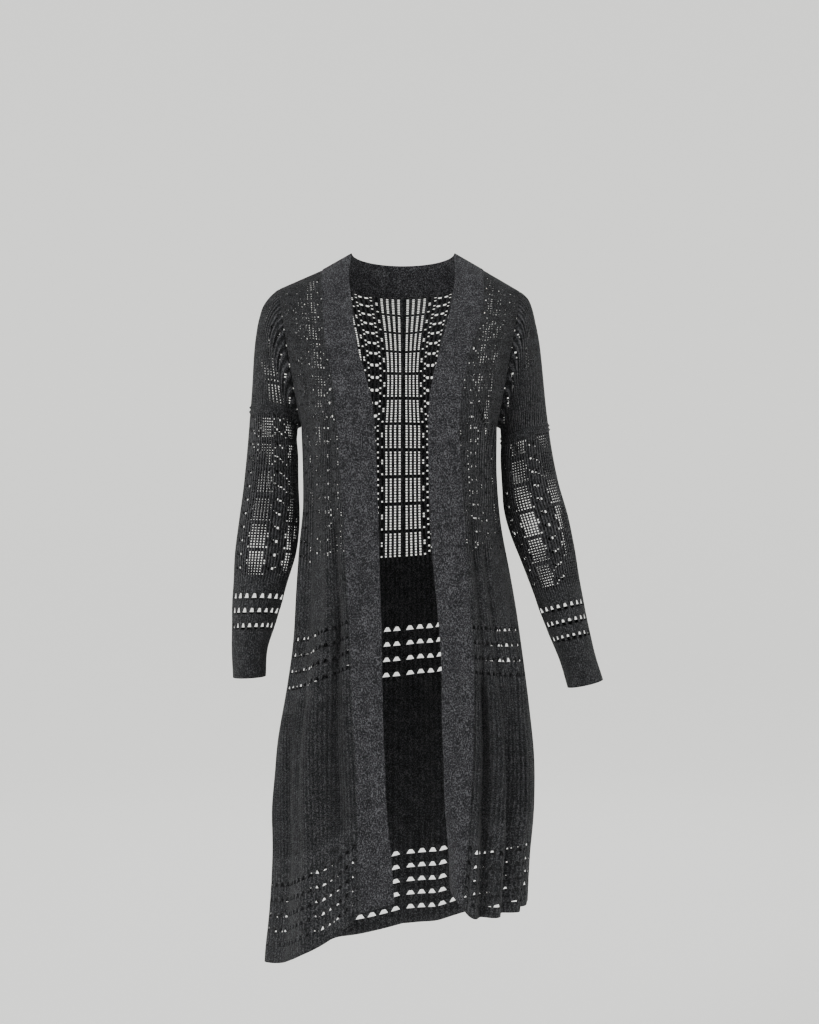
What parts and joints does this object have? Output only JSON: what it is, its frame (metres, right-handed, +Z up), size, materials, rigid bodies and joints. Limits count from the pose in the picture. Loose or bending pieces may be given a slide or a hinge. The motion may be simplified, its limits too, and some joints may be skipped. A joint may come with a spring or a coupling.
{
  "type": "long open-front cardigan",
  "caption": "Long open-front pointelle-knit cardigan with set-in long sleeves and a plain knitted band round the front and neck, in its worn shape.",
  "frame": {"origin": "base of the neck, level with and between the two shoulder points of the neckline, where a wearer or a hanger holds the garment", "axes": "+Z up along the garment's length, +Y towards the wearer's back, +X to the wearer's left; the open front faces -Y"},
  "size_m": [0.5556, 0.2456, 1.0631],
  "materials": {
    "lace_knit": "fine charcoal melange yarn in a pointelle lace knit",
    "band_knit": "dense charcoal melange knit, plain"
  },
  "bodies": {
    "root": {"back": "lace_knit", "front_right": "lace_knit", "front_left": "lace_knit", "sleeve_right": "lace_knit", "sleeve_left": "lace_knit", "band": "band_knit"}
  },
  "joints": []
}
